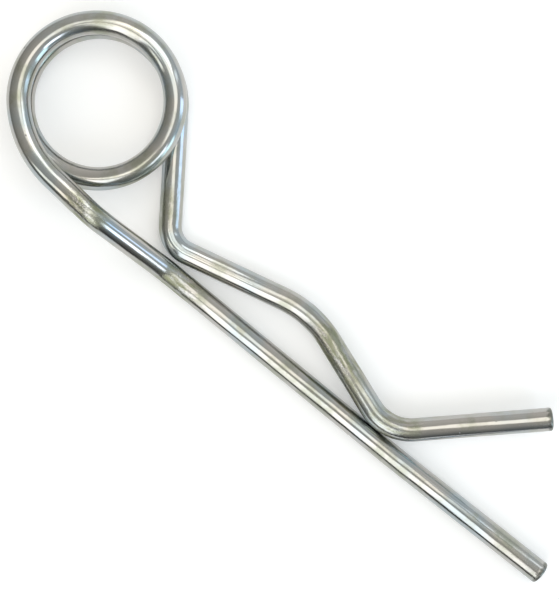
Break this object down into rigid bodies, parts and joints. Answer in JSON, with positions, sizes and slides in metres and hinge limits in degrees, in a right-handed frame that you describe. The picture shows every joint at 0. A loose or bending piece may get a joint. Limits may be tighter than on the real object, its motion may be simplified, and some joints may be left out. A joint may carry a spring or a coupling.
{
  "type": "hitch r clip pin",
  "caption": "R-shaped retaining clip bent from zinc-plated spring wire: a straight arm, a coil, and a sprung leg whose crown grips a shaft and whose tail flares as a lead-in.",
  "frame": {"origin": "on the coil's axis, level with the lowest point of the wire", "axes": "+X along the straight arm towards its tip, +Y from the arm towards the bent leg, +Z along the coil's axis from the stem's turn up to the arm's turn"},
  "size_m": [0.124, 0.0322, 0.0117],
  "materials": {
    "zinc_plated_wire": "bright zinc plate over drawn spring-steel wire"
  },
  "bodies": {
    "root": {"clip": "zinc_plated_wire"}
  },
  "joints": []
}
